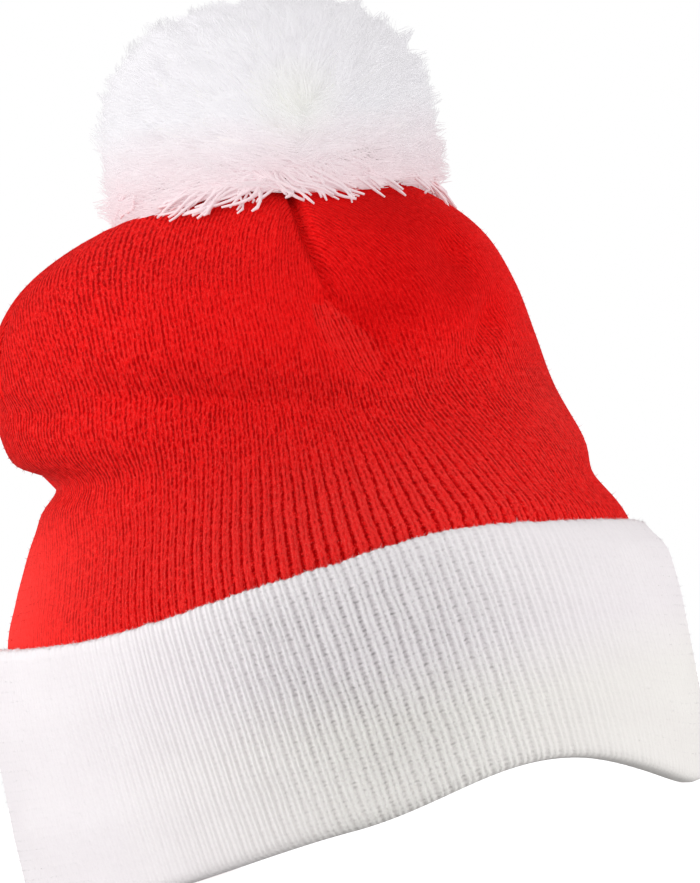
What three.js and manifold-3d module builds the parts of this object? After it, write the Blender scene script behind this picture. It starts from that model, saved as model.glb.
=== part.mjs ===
// A knitted bobble hat that stands on its rim: a red crown, a white turned-up cuff with its ribs
// and a white yarn pompom. Millimetres, +Z up, origin on the surface under the middle of the rim.
// Angles go round the hat in degrees, from the front (-Y) towards +X.

import * as THREE from 'three';
import { mergeVertices } from 'three/addons/utils/BufferGeometryUtils.js';
import Module from 'manifold-3d';

const wasm = await Module();
wasm.setup();

// Driving dimensions
const CUFF_WIDTH = 202; // outside, from side to side
const CUFF_DEPTH = 193; // outside, from front to back
const CUFF_HEIGHT = 72; // from the fold up to the turned-up edge
const CUFF_KNIT = 4; // thickness of the turned-up layer over its ribs
const RIB_COUNT = 168; // ribs round the cuff
const RIB_DEPTH = 0.9;
const EDGE_SCALLOP = 0.5; // each rib rises by this much at the turned-up edge
const CROWN_KNIT = 2.4; // thickness of the crown's knit
const LAYER_GAP = 0.4; // air between two layers of knit
const INNER_LEG = 15; // height of the cuff's inner layer, where the crown's knit carries on
const FOLD_REST = 2.6; // width of the flat that the fold rests on
const FOLD_CORNER = { inset: 0.8, height: 2 }; // where the fold rounds into the outer face
const DART_COUNT = 4; // seams that close the crown's top
const FIRST_DART = 18; // angle of the seam that shows at the front
const DART_DEPTH = 3.2;
const DART_WIDTH = 3.5; // half the width of the groove along a seam
const DART_START = 142; // height where a seam begins to sink in
const DART_FULL = 180; // height from where it is at its full depth
const DART_SWING = 12; // degrees, how far the seams swing round on their way up to the seat
const POMPOM_WIDTH = 99; // over the tips of its locks
const POMPOM_HEIGHT = 58; // from its seat to its top, over the tips of its locks
const POMPOM_MIDDLE = 10; // height of its widest level above its seat
const POMPOM_SQUARENESS = 2.7; // 2 is a round dome, more is a boxier one
const POMPOM_SEAT = 190; // height of its seat on the crown
const POMPOM_SHIFT = 11; // the crown's tip and the pompom stand this far to +X
const POMPOM_TILT = 3; // degrees, towards +X
const POMPOM_GAP = 1; // between the pompom and the crown below it
const LOCK_COUNT = 31; // locks over the head
const LOCK_LENGTH = 24;
const LOCK_WIDTH = 24;
const LOCK_TIP = 6; // how far a lock's tip stands out of the head
const LOCK_SPREAD = 1.12; // the locks cover this share of the upper half
const FRINGE_COUNT = 13; // narrower locks that lie round the pompom's base
const FRINGE_WIDTH = 15;
const FRINGE_REACH = 50; // from the pompom's axis to their tips
const FRINGE_DROP = 0.09; // how steeply they hang down

// Mesh density
const CROWN_COLUMNS = 56;
const SEAT_COLUMNS = 24;
const COARSE_COLUMNS = RIB_COUNT / 2;
const RIB_COLUMNS = RIB_COUNT * 2;
const HEAD_COLUMNS = 12;
const HEAD_ROWS = 8;
const LOCK_SIDES = 5;
const MERGE_REACH = 1e-3; // points closer than this are one
const TURN_STEP = 0.5; // degrees, for the slope of a surface round the hat
const ROW_STEP = 0.05; // rows, for its slope up the hat

// Waves of the soft rim: how far each lifts the fold off the surface and the turned-up edge.
const RIM_WAVES = [
  { name: 'front arch', angle: 36, reach: 40, fold: 12.5, edge: 0 },
  { name: 'front slope', angle: 4, reach: 52, fold: 7, edge: 0 },
  { name: 'front edge', angle: 24, reach: 67, fold: 0, edge: 11.7 },
  { name: 'back arch', angle: 144, reach: 40, fold: 12.5, edge: 0 },
  { name: 'back slope', angle: 176, reach: 52, fold: 7, edge: 0 },
  { name: 'back edge', angle: 158, reach: 64, fold: 0, edge: 8 },
  { name: 'left edge', angle: -90, reach: 70, fold: 0, edge: 5.2 },
  { name: 'right edge', angle: 84, reach: 44, fold: 0, edge: 4 },
];

// The cuff's outline: how far its outer face stands in from the full width, by share of height.
const CUFF_SECTIONS = [
  { share: 0.07, inset: 1.0 },
  { share: 0.34, inset: 0 },
  { share: 0.7, inset: 0.1 },
  { share: 1, inset: 2.4 },
];

// The crown's outline: how far its outer face reaches from the axis at each height.
const CROWN_SECTIONS = [
  { height: 15, left: 95.2, right: 95.2, front: 91.7, back: 91.7 },
  { height: 48, left: 94.6, right: 94.6, front: 91.0, back: 91.2 },
  { height: 76, left: 91.6, right: 92.8, front: 88.4, back: 88.8 },
  { height: 90, left: 86.6, right: 87.2, front: 85.6, back: 86.2 },
  { height: 104, left: 80.6, right: 84.0, front: 82.4, back: 83.6 },
  { height: 120, left: 78.4, right: 79.0, front: 79.4, back: 81.0 },
  { height: 136, left: 81.4, right: 76.4, front: 78.4, back: 79.0 },
  { height: 152, left: 82.0, right: 73.6, front: 76.0, back: 76.0 },
  { height: 167, left: 76.4, right: 68.0, front: 69.0, back: 69.0 },
  { height: 179, left: 65.4, right: 57.6, front: 58.0, back: 58.0 },
  { height: 188, left: 47.4, right: 43.6, front: 43.0, back: 43.0 },
  { height: 193.6, left: 25.0, right: 25.0, front: 24.0, back: 24.0 },
  { height: 195.6, left: 0, right: 0, front: 0, back: 0 },
];

// Rows of the crown's mesh, as places along the list of sections: closer where the folds are.
const CROWN_ROWS = [
  0, 2, 2.7, 3.35, 3.9, 4.3, 4.65, 4.95, 5.25, 5.6, 5.95, 6.3, 6.7, 7.1, 7.5, 7.95, 8.4, 8.85,
  9.35, 10, 11,
];

// Rows of the surface that the pompom is seated on, along the same list.
const SEAT_ROWS = [8.6, 9.4, 10, 10.5, 11];

// Folds of the soft crown: a valley of that depth along a stretch that climbs by slope (mm for
// each degree), fading out over its reach (degrees) and its spread (mm of height).
const CROWN_FOLDS = [
  { name: 'left tuck', angle: -92, reach: 78, height: 121, slope: -0.07, spread: 5, depth: 9.3 },
  { name: 'left slope', angle: -94, reach: 46, height: 113, slope: -0.07, spread: 7, depth: 3.4 },
  { name: 'front valley', angle: -16, reach: 62, height: 135, slope: -0.36, spread: 8, depth: 4.2 },
  { name: 'front crease', angle: -10, reach: 38, height: 132, slope: -0.36, spread: 3, depth: 2 },
  { name: 'upper valley', angle: -16, reach: 44, height: 176, slope: -0.2, spread: 7, depth: 2.4 },
  { name: 'seam dent', angle: 23, reach: 15, height: 148, slope: -0.5, spread: 12, depth: 6.5 },
  { name: 'right hollow', angle: 50, reach: 17, height: 159, slope: 0, spread: 10, depth: 2.6 },
  { name: 'right valley', angle: 48, reach: 26, height: 134, slope: 0.7, spread: 6, depth: 3 },
  { name: 'right notch', angle: 92, reach: 34, height: 95, slope: 0.1, spread: 5, depth: 1.8 },
  { name: 'back valley', angle: 176, reach: 74, height: 131, slope: 0.12, spread: 9, depth: 4 },
  { name: 'back sag', angle: 132, reach: 46, height: 110, slope: -0.15, spread: 8, depth: 2.6 },
];

// A lock's outline, by share of its length from the root and of its half width.
const LOCK_OUTLINE = [
  { along: 0, out: 0 },
  { along: 0.6, out: 1 },
  { along: 0.88, out: 0.6 },
  { along: 1, out: 0 },
];

const { clamp, degToRad, euclideanModulo, lerp, smoothstep } = THREE.MathUtils;

// The turn from one angle to another, from -180 to 180 degrees.
const turn = (from, to) => euclideanModulo(to - from + 180, 360) - 180;

// 1 in the middle of a stretch, falling smoothly to 0 at its ends.
const bell = (distance, reach) => Math.cos((Math.PI / 2) * clamp(distance / reach, -1, 1)) ** 2;

const rimWave = (angle, line) =>
  RIM_WAVES.reduce((sum, wave) => sum + wave[line] * bell(turn(wave.angle, angle), wave.reach), 0);

// A closed skin woven from rings of points, each ring bridged to the next.
class Skin {
  points = [];
  triangles = [];

  ring(columns, place) {
    const first = this.points.length;
    for (let i = 0; i < columns; i++) this.points.push(place(FIRST_DART + (i * 360) / columns, i));
    return { first, columns };
  }

  tip(point) {
    this.points.push(point);
    return { first: this.points.length - 1, columns: 1 };
  }

  // Two rings side by side, seen from outside with the first one below. The ring with more
  // columns holds a whole number of them for each column of the other.
  bridge(below, above) {
    const at = (ring, i) => ring.first + (i % ring.columns);
    const steps = Math.min(below.columns, above.columns);
    const low = below.columns / steps;
    const high = above.columns / steps;
    for (let step = 0; step < steps; step++) {
      const lowStart = step * low;
      const highStart = step * high;
      const lowApex = at(above, low > high ? highStart + high : highStart);
      const highApex = at(below, low > high ? lowStart : lowStart + low);
      for (let i = lowStart; below.columns > 1 && i < lowStart + low; i++) {
        this.triangles.push(at(below, i), at(below, i + 1), lowApex);
      }
      for (let i = highStart; above.columns > 1 && i < highStart + high; i++) {
        this.triangles.push(at(above, i + 1), at(above, i), highApex);
      }
    }
  }

  solid() {
    const mesh = { numProp: 3, triVerts: new Uint32Array(this.triangles) };
    mesh.vertProperties = new Float32Array(this.points.flatMap((point) => point.toArray()));
    return new wasm.Manifold(new wasm.Mesh(mesh));
  }
}

const sectionColumns = ['height', 'left', 'right', 'front', 'back'];
const sectionCurve = new THREE.CubicInterpolant(
  CROWN_SECTIONS.map((section, row) => row),
  CROWN_SECTIONS.flatMap((section) => sectionColumns.map((column) => section[column])),
  sectionColumns.length,
);

// The angle that a wale has turned to at a height, as the seams swing round on their way up.
const swung = (wale, height) => wale - DART_SWING * smoothstep(height, DART_START, POMPOM_SEAT);

// The crown's outer face before it is folded, along a wale of its knit. The tip leans over towards
// the pompom's seat, and the lowest rows follow the waves of the rim.
function smoothCrown(wale, row) {
  const [height, left, right, front, back] = sectionCurve.evaluate(row);
  const angle = swung(wale, height);
  const across = Math.sin(degToRad(angle));
  const along = Math.cos(degToRad(angle));
  const lift = rimWave(angle, 'fold') * (1 - smoothstep(height, INNER_LEG, DART_START));
  const lean = POMPOM_SHIFT * smoothstep(height, DART_START, POMPOM_SEAT);
  return new THREE.Vector3(
    across * (across > 0 ? right : left) + lean * (1 - Math.abs(across)),
    -along * (along > 0 ? front : back),
    height + lift,
  );
}

// The turn from the nearest dart seam to a wale, in degrees.
function fromDart(wale) {
  const spacing = 360 / DART_COUNT;
  return euclideanModulo(wale - FIRST_DART + spacing / 2, spacing) - spacing / 2;
}

// How far the folds and the dart seams sink the crown's face at a point of it.
function foldDepth(wale, point) {
  const angle = swung(wale, point.z);
  let depth = 0;
  for (const fold of CROWN_FOLDS) {
    const away = turn(fold.angle, angle);
    const climb = point.z - fold.height - fold.slope * away;
    depth += fold.depth * bell(away, fold.reach) * Math.exp(-((climb / fold.spread) ** 2));
  }
  const arc = degToRad(fromDart(wale)) * Math.hypot(point.x, point.y);
  const groove = Math.exp(-((arc / DART_WIDTH) ** 2));
  return depth + DART_DEPTH * groove * smoothstep(point.z, DART_START, DART_FULL);
}

function outwardNormal(place, wale, row) {
  const aside = place(wale + TURN_STEP, row).sub(place(wale - TURN_STEP, row));
  const upward = place(wale, Math.min(row + ROW_STEP, CROWN_SECTIONS.length - 1));
  upward.sub(place(wale, Math.max(row - ROW_STEP, 0)));
  return aside.cross(upward).normalize();
}

function foldedCrown(wale, row) {
  const point = smoothCrown(wale, row);
  return point.addScaledVector(outwardNormal(smoothCrown, wale, row), -foldDepth(wale, point));
}

// The folded crown at a distance from its outer face, which is positive outside it.
const crownPoint = (wale, row, offset) =>
  foldedCrown(wale, row).addScaledVector(outwardNormal(foldedCrown, wale, row), offset);

// The crown's tip, where its dart seams meet.
const crownTip = (offset) =>
  new THREE.Vector3(POMPOM_SHIFT, 0, CROWN_SECTIONS.at(-1).height - DART_DEPTH + offset);

// The crown's knit as one hollow wall: up its outer face to the tip and down its inner face.
function crownSolid() {
  const skin = new Skin();
  const rings = (offset) =>
    CROWN_ROWS.map((row) => skin.ring(CROWN_COLUMNS, (wale) => crownPoint(wale, row, offset)));
  const outer = [...rings(0), skin.tip(crownTip(0))];
  const inner = [...rings(-CROWN_KNIT), skin.tip(crownTip(-CROWN_KNIT))];
  for (let i = 1; i < outer.length; i++) {
    skin.bridge(outer[i - 1], outer[i]);
    skin.bridge(inner[i], inner[i - 1]);
  }
  skin.bridge(inner[0], outer[0]);
  return skin.solid();
}

// The crown's top as a full body without its folds, grown by the gap the pompom keeps from it.
function pompomSeat() {
  const skin = new Skin();
  const grown = (wale, row) =>
    smoothCrown(wale, row).addScaledVector(outwardNormal(smoothCrown, wale, row), POMPOM_GAP);
  const rings = SEAT_ROWS.map((row) => skin.ring(SEAT_COLUMNS, (wale) => grown(wale, row)));
  const { z: lowest } = smoothCrown(0, SEAT_ROWS[0]);
  const base = skin.tip(new THREE.Vector3(0, 0, lowest));
  const top = skin.tip(crownTip(DART_DEPTH + POMPOM_GAP));
  const levels = [base, ...rings, top];
  for (let i = 1; i < levels.length; i++) skin.bridge(levels[i - 1], levels[i]);
  return skin.solid();
}

// A point of the cuff: in by a distance from its outer face, at a height above the surface.
function cuffPoint(angle, inset, height) {
  const across = CUFF_WIDTH / 2 - inset;
  const along = CUFF_DEPTH / 2 - inset;
  const turned = degToRad(angle);
  return new THREE.Vector3(across * Math.sin(turned), -along * Math.cos(turned), height);
}

// The turned-up cuff: its ribbed outer face, the fold at the rim, a short inner layer that meets
// the crown's knit, and the smooth face that lies on the crown.
function cuffSolid() {
  const skin = new Skin();
  const bottom = (angle) => rimWave(angle, 'fold');
  const top = (angle) => CUFF_HEIGHT + rimWave(angle, 'edge');
  const [foot] = CUFF_SECTIONS;
  const innerFace = CUFF_KNIT + LAYER_GAP + CROWN_KNIT;
  const middle = foot.inset + innerFace / 2;
  const legTop = INNER_LEG - LAYER_GAP;
  const footHeight = foot.share * CUFF_HEIGHT;

  const ribRing = ({ share, inset }) =>
    skin.ring(RIB_COLUMNS, (angle, i) => {
      const valley = i % 2;
      const scallop = share === 1 ? EDGE_SCALLOP * (1 - valley) : 0;
      const height = lerp(bottom(angle), top(angle), share) + scallop;
      return cuffPoint(angle, inset + valley * RIB_DEPTH, height);
    });
  const plainRing = (inset, height) =>
    skin.ring(COARSE_COLUMNS, (angle) => cuffPoint(angle, inset, height(angle)));
  const above = (rise) => (angle) => bottom(angle) + rise;

  const inner = CUFF_SECTIONS.map(({ share, inset }) =>
    plainRing(inset + CUFF_KNIT, (angle) => lerp(bottom(angle), top(angle), share)),
  );
  const fold = [
    plainRing(middle + FOLD_REST / 2, above(0)),
    plainRing(middle - FOLD_REST / 2, above(0)),
    plainRing(foot.inset + FOLD_CORNER.inset, above(FOLD_CORNER.height)),
  ];
  const leg = [
    plainRing(foot.inset + CUFF_KNIT + LAYER_GAP, above(footHeight)),
    plainRing(CUFF_KNIT + LAYER_GAP, above(legTop)),
    plainRing(innerFace, above(legTop)),
    plainRing(foot.inset + innerFace, above(footHeight)),
  ];
  const rings = [...inner.reverse(), ...leg, ...fold, ...CUFF_SECTIONS.map(ribRing)];
  rings.forEach((ring, i) => skin.bridge(ring, rings[(i + 1) % rings.length]));
  return skin.solid();
}

// A geometry of three.js as a solid.
function solidOf(geometry) {
  const bare = geometry.clone();
  bare.deleteAttribute('normal');
  bare.deleteAttribute('uv');
  const merged = mergeVertices(bare, MERGE_REACH);
  const vertProperties = merged.attributes.position.array;
  const triVerts = new Uint32Array(merged.index.array);
  return new wasm.Manifold(new wasm.Mesh({ numProp: 3, vertProperties, triVerts }));
}

// One lock of yarn along a direction, from its root inside the head to its tip.
function lockGeometry(width, tip, direction) {
  const outline = LOCK_OUTLINE.map(
    ({ along, out }) => new THREE.Vector2((out * width) / 2, (along - 1) * LOCK_LENGTH),
  );
  const lock = new THREE.LatheGeometry(outline, LOCK_SIDES);
  const aim = new THREE.Quaternion().setFromUnitVectors(new THREE.Vector3(0, 1, 0), direction);
  return lock.applyQuaternion(aim).translate(...tip.toArray());
}

// The pompom's domed outer form along a direction from its middle, drawn in by an inset.
function pompomPoint(direction, inset) {
  const out = Math.hypot(direction.x, direction.y) ** POMPOM_SQUARENESS;
  const up = Math.abs(direction.z) ** POMPOM_SQUARENESS;
  const reach = (out + up) ** (-1 / POMPOM_SQUARENESS);
  const round = reach * (POMPOM_WIDTH / 2 - inset);
  const rise = reach * (POMPOM_HEIGHT - POMPOM_MIDDLE - inset);
  const scaled = direction.clone().multiply(new THREE.Vector3(round, round, rise));
  return scaled.setZ(scaled.z + POMPOM_MIDDLE);
}

// The pompom's head: a ball drawn out to the domed form below the tips of the locks.
function headGeometry() {
  const head = new THREE.SphereGeometry(1, HEAD_COLUMNS, HEAD_ROWS).rotateX(Math.PI / 2);
  const { position } = head.attributes;
  for (let i = 0; i < position.count; i++) {
    const direction = new THREE.Vector3().fromBufferAttribute(position, i);
    position.setXYZ(i, ...pompomPoint(direction, LOCK_TIP).toArray());
  }
  return head;
}

// The yarn pompom: its head with locks fused to it all over and a fringe round its base, cut to
// sit on the crown.
function pompomSolid() {
  const yarn = [headGeometry()];
  const goldenTurn = Math.PI * (3 - Math.sqrt(5));
  for (let i = 0; i < LOCK_COUNT; i++) {
    const up = 1 - (LOCK_SPREAD * (i + 0.5)) / LOCK_COUNT;
    const out = Math.sqrt(1 - up * up);
    const round = i * goldenTurn;
    const direction = new THREE.Vector3(out * Math.cos(round), out * Math.sin(round), up);
    yarn.push(lockGeometry(LOCK_WIDTH, pompomPoint(direction, 0), direction));
  }
  for (let i = 0; i < FRINGE_COUNT; i++) {
    const round = (i * 2 * Math.PI) / FRINGE_COUNT;
    const direction = new THREE.Vector3(Math.cos(round), Math.sin(round), -FRINGE_DROP);
    const tip = direction.clone().multiplyScalar(FRINGE_REACH);
    yarn.push(lockGeometry(FRINGE_WIDTH, tip, direction.normalize()));
  }
  const place = new THREE.Matrix4().makeRotationY(degToRad(POMPOM_TILT));
  place.setPosition(POMPOM_SHIFT, 0, POMPOM_SEAT);
  const solids = yarn.map((geometry) => solidOf(geometry.applyMatrix4(place)));
  const whole = solids.reduce((body, solid) => body.add(solid));
  const seated = whole.subtract(pompomSeat()).decompose();
  return seated.reduce((most, body) => (body.volume() > most.volume() ? body : most));
}

function namedMesh(name, solid, material) {
  const { vertProperties, triVerts } = solid.getMesh();
  const geometry = new THREE.BufferGeometry();
  geometry.setAttribute('position', new THREE.BufferAttribute(new Float32Array(vertProperties), 3));
  geometry.setIndex(new THREE.BufferAttribute(new Uint32Array(triVerts), 1));
  geometry.computeVertexNormals();
  const mesh = new THREE.Mesh(geometry, material);
  mesh.name = name;
  return mesh;
}

const knit = (color) => new THREE.MeshStandardMaterial({ color, roughness: 0.95, metalness: 0 });

const hat = new THREE.Group();
hat.name = 'knitted_santa_hat';
hat.add(namedMesh('crown', crownSolid(), knit(0xd41014)));
hat.add(namedMesh('cuff', cuffSolid(), knit(0xf1eff0)));
hat.add(namedMesh('pompom', pompomSolid(), knit(0xf6f4f5)));

export default hat;
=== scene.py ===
"""A knitted bobble hat in santa colours, standing on its rim: red crown, white cuff, white pompom.

Lengths in the tables are millimetres. Angles go round the hat in degrees, from the front (-Y)
towards +X.
"""

import math
from collections import namedtuple

import bpy
import numpy as np
from mathutils import Matrix, Vector


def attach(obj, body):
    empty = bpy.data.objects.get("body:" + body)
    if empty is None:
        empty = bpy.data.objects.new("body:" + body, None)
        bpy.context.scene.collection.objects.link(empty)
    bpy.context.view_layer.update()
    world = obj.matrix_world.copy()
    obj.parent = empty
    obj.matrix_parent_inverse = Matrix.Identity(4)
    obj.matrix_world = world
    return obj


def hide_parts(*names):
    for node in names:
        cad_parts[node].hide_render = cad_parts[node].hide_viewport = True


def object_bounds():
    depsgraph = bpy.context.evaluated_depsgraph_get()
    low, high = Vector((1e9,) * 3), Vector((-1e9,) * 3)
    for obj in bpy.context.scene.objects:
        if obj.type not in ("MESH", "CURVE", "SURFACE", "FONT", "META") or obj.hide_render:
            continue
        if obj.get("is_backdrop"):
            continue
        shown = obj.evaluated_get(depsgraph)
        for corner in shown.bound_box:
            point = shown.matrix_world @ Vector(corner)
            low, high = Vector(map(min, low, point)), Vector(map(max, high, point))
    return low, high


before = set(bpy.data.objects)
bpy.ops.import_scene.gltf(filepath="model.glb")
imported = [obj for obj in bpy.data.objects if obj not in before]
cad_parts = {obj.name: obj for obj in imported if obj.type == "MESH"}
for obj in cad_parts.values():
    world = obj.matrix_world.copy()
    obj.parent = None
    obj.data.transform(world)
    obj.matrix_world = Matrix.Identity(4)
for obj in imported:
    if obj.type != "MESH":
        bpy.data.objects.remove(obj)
cad_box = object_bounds()

MM = 0.001

# The hat's sizes
CUFF_WIDTH = 202
CUFF_DEPTH = 193
CUFF_HEIGHT = 72
CUFF_KNIT = 4
RIB_COUNT = 168
RIB_DEPTH = 0.9
RIB_STRAIGHT = 5  # where round the hat a rib runs straight up
RIB_FRONT = 7  # where round the hat the ribs are stretched furthest open
BACK = 180  # round the hat; the ribs open again there
RIB_STRAY = 0.06  # how far a rib strays sideways, as a share of its width
STRAY_LENGTH = 7  # how far up a rib it strays to one side
RIB_PLUMP = 0.25  # how much a rib's depth changes on its way up
PLUMP_LENGTH = 11
GAP_MIDDLE = 0.3  # along a rib's width
GAP_REACH = 0.18
VALLEY_MIDDLE = 0.8
VALLEY_REACH = 0.3
CROWN_KNIT = 2.4
LAYER_GAP = 0.4
INNER_LEG = 15
DART_COUNT = 4
FIRST_DART = 18
DART_DEPTH = 3.2
DART_WIDTH = 3.5
DART_START = 142
DART_FULL = 180
DART_SWING = 12
POMPOM_WIDTH = 97
POMPOM_HEIGHT = 57
POMPOM_MIDDLE = 10
POMPOM_SQUARENESS = 2.7
POMPOM_SEAT = 190
POMPOM_SHIFT = 11
POMPOM_TILT = 3

# Where round the hat the rim waves, how wide, and how far its fold and its turned-up edge are lifted
Wave = namedtuple("Wave", "angle reach fold edge")
RIM_WAVES = [
    Wave(36, 40, 12.5, 0),
    Wave(4, 52, 7, 0),
    Wave(24, 67, 0, 11.7),
    Wave(144, 40, 12.5, 0),
    Wave(176, 52, 7, 0),
    Wave(158, 64, 0, 8),
    Wave(-90, 70, 0, 5.2),
    Wave(84, 44, 0, 4),
    Wave(117, 30, 6, 0),  # lifts the far rim, which would show under the front's arch
]

Section = namedtuple("Section", "height left right front back")
CROWN_SECTIONS = [
    Section(15, 95.2, 95.2, 91.7, 91.7),
    Section(48, 94.6, 94.6, 91.0, 91.2),
    Section(76, 91.6, 92.8, 88.4, 88.8),
    Section(90, 86.6, 87.2, 85.6, 86.2),
    Section(104, 80.6, 84.0, 82.4, 83.6),
    Section(120, 78.4, 79.0, 79.4, 81.0),
    Section(136, 81.4, 76.4, 78.4, 79.0),
    Section(152, 82.0, 73.6, 76.0, 76.0),
    Section(167, 76.4, 68.0, 69.0, 69.0),
    Section(179, 65.4, 57.6, 58.0, 58.0),
    Section(188, 47.4, 43.6, 43.0, 43.0),
    Section(193.6, 25.0, 25.0, 24.0, 24.0),
    Section(195.6, 0, 0, 0, 0),
]
CROWN_TIP = len(CROWN_SECTIONS) - 1  # the last place along the list of sections

Fold = namedtuple("Fold", "angle reach height slope spread depth")
CROWN_FOLDS = [
    Fold(-92, 78, 121, -0.07, 5, 9.3),
    Fold(-94, 46, 113, -0.07, 7, 3.4),
    Fold(-16, 62, 135, -0.36, 8, 4.2),
    Fold(-10, 38, 132, -0.36, 3, 2),
    Fold(-16, 44, 176, -0.2, 7, 2.4),
    Fold(23, 15, 148, -0.5, 12, 6.5),
    Fold(50, 17, 159, 0, 10, 2.6),
    Fold(48, 26, 134, 0.7, 6, 3),
    Fold(92, 34, 95, 0.1, 5, 1.8),
    Fold(176, 74, 131, 0.12, 9, 4),
    Fold(132, 46, 110, -0.15, 8, 2.6),
]


# Shapes that the pieces share

def turn(start, end):
    """The turn from one angle to another, from -180 to 180 degrees."""
    return (end - start + 180) % 360 - 180


def bell(distance, reach):
    """1 in the middle of a stretch, falling smoothly to 0 at its ends."""
    return np.cos(np.pi / 2 * np.clip(distance / reach, -1, 1)) ** 2


def smoothstep(value, low, high):
    share = np.clip((value - low) / (high - low), 0, 1)
    return share * share * (3 - 2 * share)


def rim_wave(angle, line):
    """How far the soft rim's waves lift its fold or its turned-up edge."""
    return sum(getattr(wave, line) * bell(turn(wave.angle, angle), wave.reach) for wave in RIM_WAVES)


def crown_section(row):
    """The crown's outline at a place along its list of sections, on a smooth curve."""
    table = np.array(CROWN_SECTIONS, dtype=float)
    start = np.clip(np.floor(row).astype(int), 0, CROWN_TIP - 1)
    t = (row - start)[..., None]
    before, low, high, after = (table[np.clip(start + step, 0, CROWN_TIP)] for step in (-1, 0, 1, 2))
    curve = (
        low
        + 0.5 * t * (high - before)
        + t * t * (before - 2.5 * low + 2 * high - 0.5 * after)
        + t ** 3 * (1.5 * (low - high) + 0.5 * (after - before))
    )
    return np.moveaxis(curve, -1, 0)


def swung(wale, height):
    """The angle that a wale has turned to, as the seams swing round on their way up."""
    return wale - DART_SWING * smoothstep(height, DART_START, POMPOM_SEAT)


def smooth_crown(wale, row):
    """The crown's outer face before it is folded, along a wale of its knit."""
    height, left, right, front, back = crown_section(row)
    angle = swung(wale, height)
    across = np.sin(np.radians(angle))
    along = np.cos(np.radians(angle))
    lift = rim_wave(angle, "fold") * (1 - smoothstep(height, INNER_LEG, DART_START))
    lean = POMPOM_SHIFT * smoothstep(height, DART_START, POMPOM_SEAT)
    x = across * np.where(across > 0, right, left) + lean * (1 - np.abs(across))
    y = -along * np.where(along > 0, front, back)
    return np.stack([x, y, height + lift], axis=-1)


def from_dart(wale):
    """The turn from the nearest dart seam, in degrees."""
    spacing = 360 / DART_COUNT
    return (wale - FIRST_DART + spacing / 2) % spacing - spacing / 2


def fold_depth(wale, points):
    """How deep the folds and the seams' grooves lie under the smooth crown."""
    angle = swung(wale, points[..., 2])
    depth = 0
    for fold in CROWN_FOLDS:
        away = turn(fold.angle, angle)
        climb = points[..., 2] - fold.height - fold.slope * away
        depth = depth + fold.depth * bell(away, fold.reach) * np.exp(-((climb / fold.spread) ** 2))
    arc = np.radians(from_dart(wale)) * np.hypot(points[..., 0], points[..., 1])
    groove = np.exp(-((arc / DART_WIDTH) ** 2))
    return depth + DART_DEPTH * groove * smoothstep(points[..., 2], DART_START, DART_FULL)


def outward(place, wale, row):
    """The direction straight out of a surface."""
    aside = place(wale + 0.5, row) - place(wale - 0.5, row)
    upper = np.minimum(row + 0.05, CROWN_TIP)
    upward = place(wale, upper) - place(wale, np.maximum(row - 0.05, 0))
    return unit(np.cross(aside, upward))


def folded_crown(wale, row):
    """The crown's outer face with its folds and grooves, before it gets its ribs."""
    points = smooth_crown(wale, row)
    return points - outward(smooth_crown, wale, row) * fold_depth(wale, points)[..., None]


def unit(vectors):
    return vectors / np.maximum(np.linalg.norm(vectors, axis=-1, keepdims=True), 1e-9)


def rib_profile(place, gap_depth):
    """A rib's height, 0 to 1, over one period: two yarn legs, a gap between them, then a valley."""
    gap = gap_depth * bell(np.abs((place - GAP_MIDDLE + 0.5) % 1 - 0.5), GAP_REACH)
    return 1 - gap - bell(np.abs((place - VALLEY_MIDDLE + 0.5) % 1 - 0.5), VALLEY_REACH)


def rib_counts():
    """Ribs counted round the hat: where the cuff stretches them, and where the crown is slack.

    The counts run over three turns, so that a count can be looked up on either side of the start.
    """
    angle = FIRST_DART + np.linspace(0, 360, 1441)
    step = angle[1] - angle[0]
    stretched = 1 + 0.28 * bell(turn(-38, angle), 38) - 0.19 * bell(turn(28, angle), 52)
    cuff = np.concatenate([[0], np.cumsum((stretched[1:] + stretched[:-1]) / 2 * step)])
    cuff = cuff / cuff[-1] * RIB_COUNT
    slack = 1 + 0.17 * bell(turn(4, angle), 50)
    crown = np.concatenate([[0], np.cumsum((slack[1:] + slack[:-1]) / 2 * step)])
    at_seams = crown[:: len(crown) // DART_COUNT]
    crown = np.interp(crown, at_seams, np.arange(DART_COUNT + 1) * RIB_COUNT / DART_COUNT)
    straight = RIB_STRAIGHT + 360
    cuff = cuff + np.interp(straight, angle, crown) - np.interp(straight, angle, cuff)

    def three_turns(values, period):
        return np.concatenate([values[:-1] - period, values[:-1], values + period])

    return (
        three_turns(angle, 360), three_turns(cuff, RIB_COUNT), three_turns(crown, RIB_COUNT)
    )


def rib_angles(count, slackness):
    """Where round the hat the counted ribs lie, from 0 on the cuff to 1 on the slack crown."""
    angle, cuff, crown = rib_counts()
    slackness = np.atleast_1d(slackness)
    return np.stack(
        [np.interp(count, cuff + (crown - cuff) * share, angle) for share in slackness]
    )


def stray(place, along, seed, period=RIB_COUNT):
    """A smooth random field over the knit, about -1 to 1, that meets itself round the hat."""
    levels = 64
    knots = np.random.default_rng(seed).uniform(-1, 1, (period, levels))
    place, along = np.broadcast_arrays(np.asarray(place, dtype=float), np.asarray(along, dtype=float))
    rib, level = np.floor(place).astype(int), np.floor(along).astype(int)
    side = smoothstep(place - rib, 0, 1)
    up = smoothstep(along - level, 0, 1)

    def across(row):
        here = knots[rib % period, row % levels]
        return here * (1 - side) + knots[(rib + 1) % period, row % levels] * side

    return across(level) * (1 - up) + across(level + 1) * up


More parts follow.
